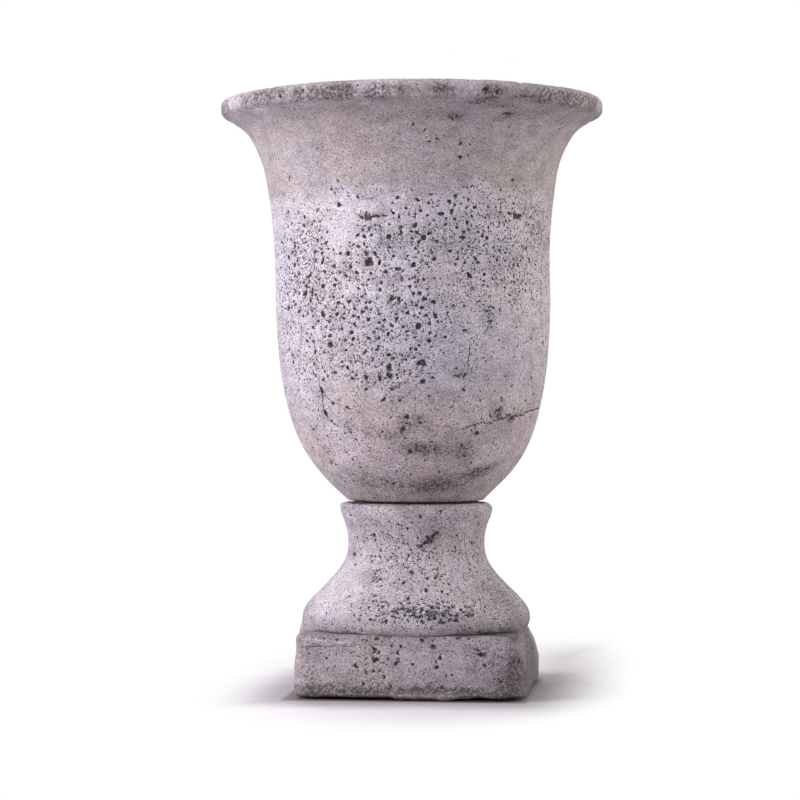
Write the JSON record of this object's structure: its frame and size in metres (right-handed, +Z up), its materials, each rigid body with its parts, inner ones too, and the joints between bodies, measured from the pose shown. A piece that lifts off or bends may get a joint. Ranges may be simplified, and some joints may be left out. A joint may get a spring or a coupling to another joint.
{
  "type": "urn vase",
  "caption": "Cast cement urn vase: bell-shaped bowl with a flared, thick-lipped mouth, set on a waisted pedestal with a square plinth; the bowl lifts off.",
  "frame": {"origin": "middle of the plinth's underside, on the surface the vase stands on", "axes": "+Z up along the vase's round axis, +X and +Y square to the plinth's sides, -Y towards the front"},
  "size_m": [0.2596, 0.2596, 0.4],
  "materials": {
    "bowl_cement": "raw cast cement, matt, pitted with air pores",
    "pedestal_cement": "raw cast cement, matt, stained along the foot",
    "mortar": "rough dark bedding mortar",
    "tube_steel": "dull galvanised steel"
  },
  "bodies": {
    "base": {"pedestal": "pedestal_cement", "bedding_ring": "mortar", "drain_tube": "tube_steel"},
    "bowl": {"bowl": "bowl_cement"}
  },
  "joints": [
    {"name": "bowl_lift", "type": "slide", "parent": "base", "child": "bowl", "axis": [0, 0, 1], "range_m": [0, 0.06]}
  ]
}
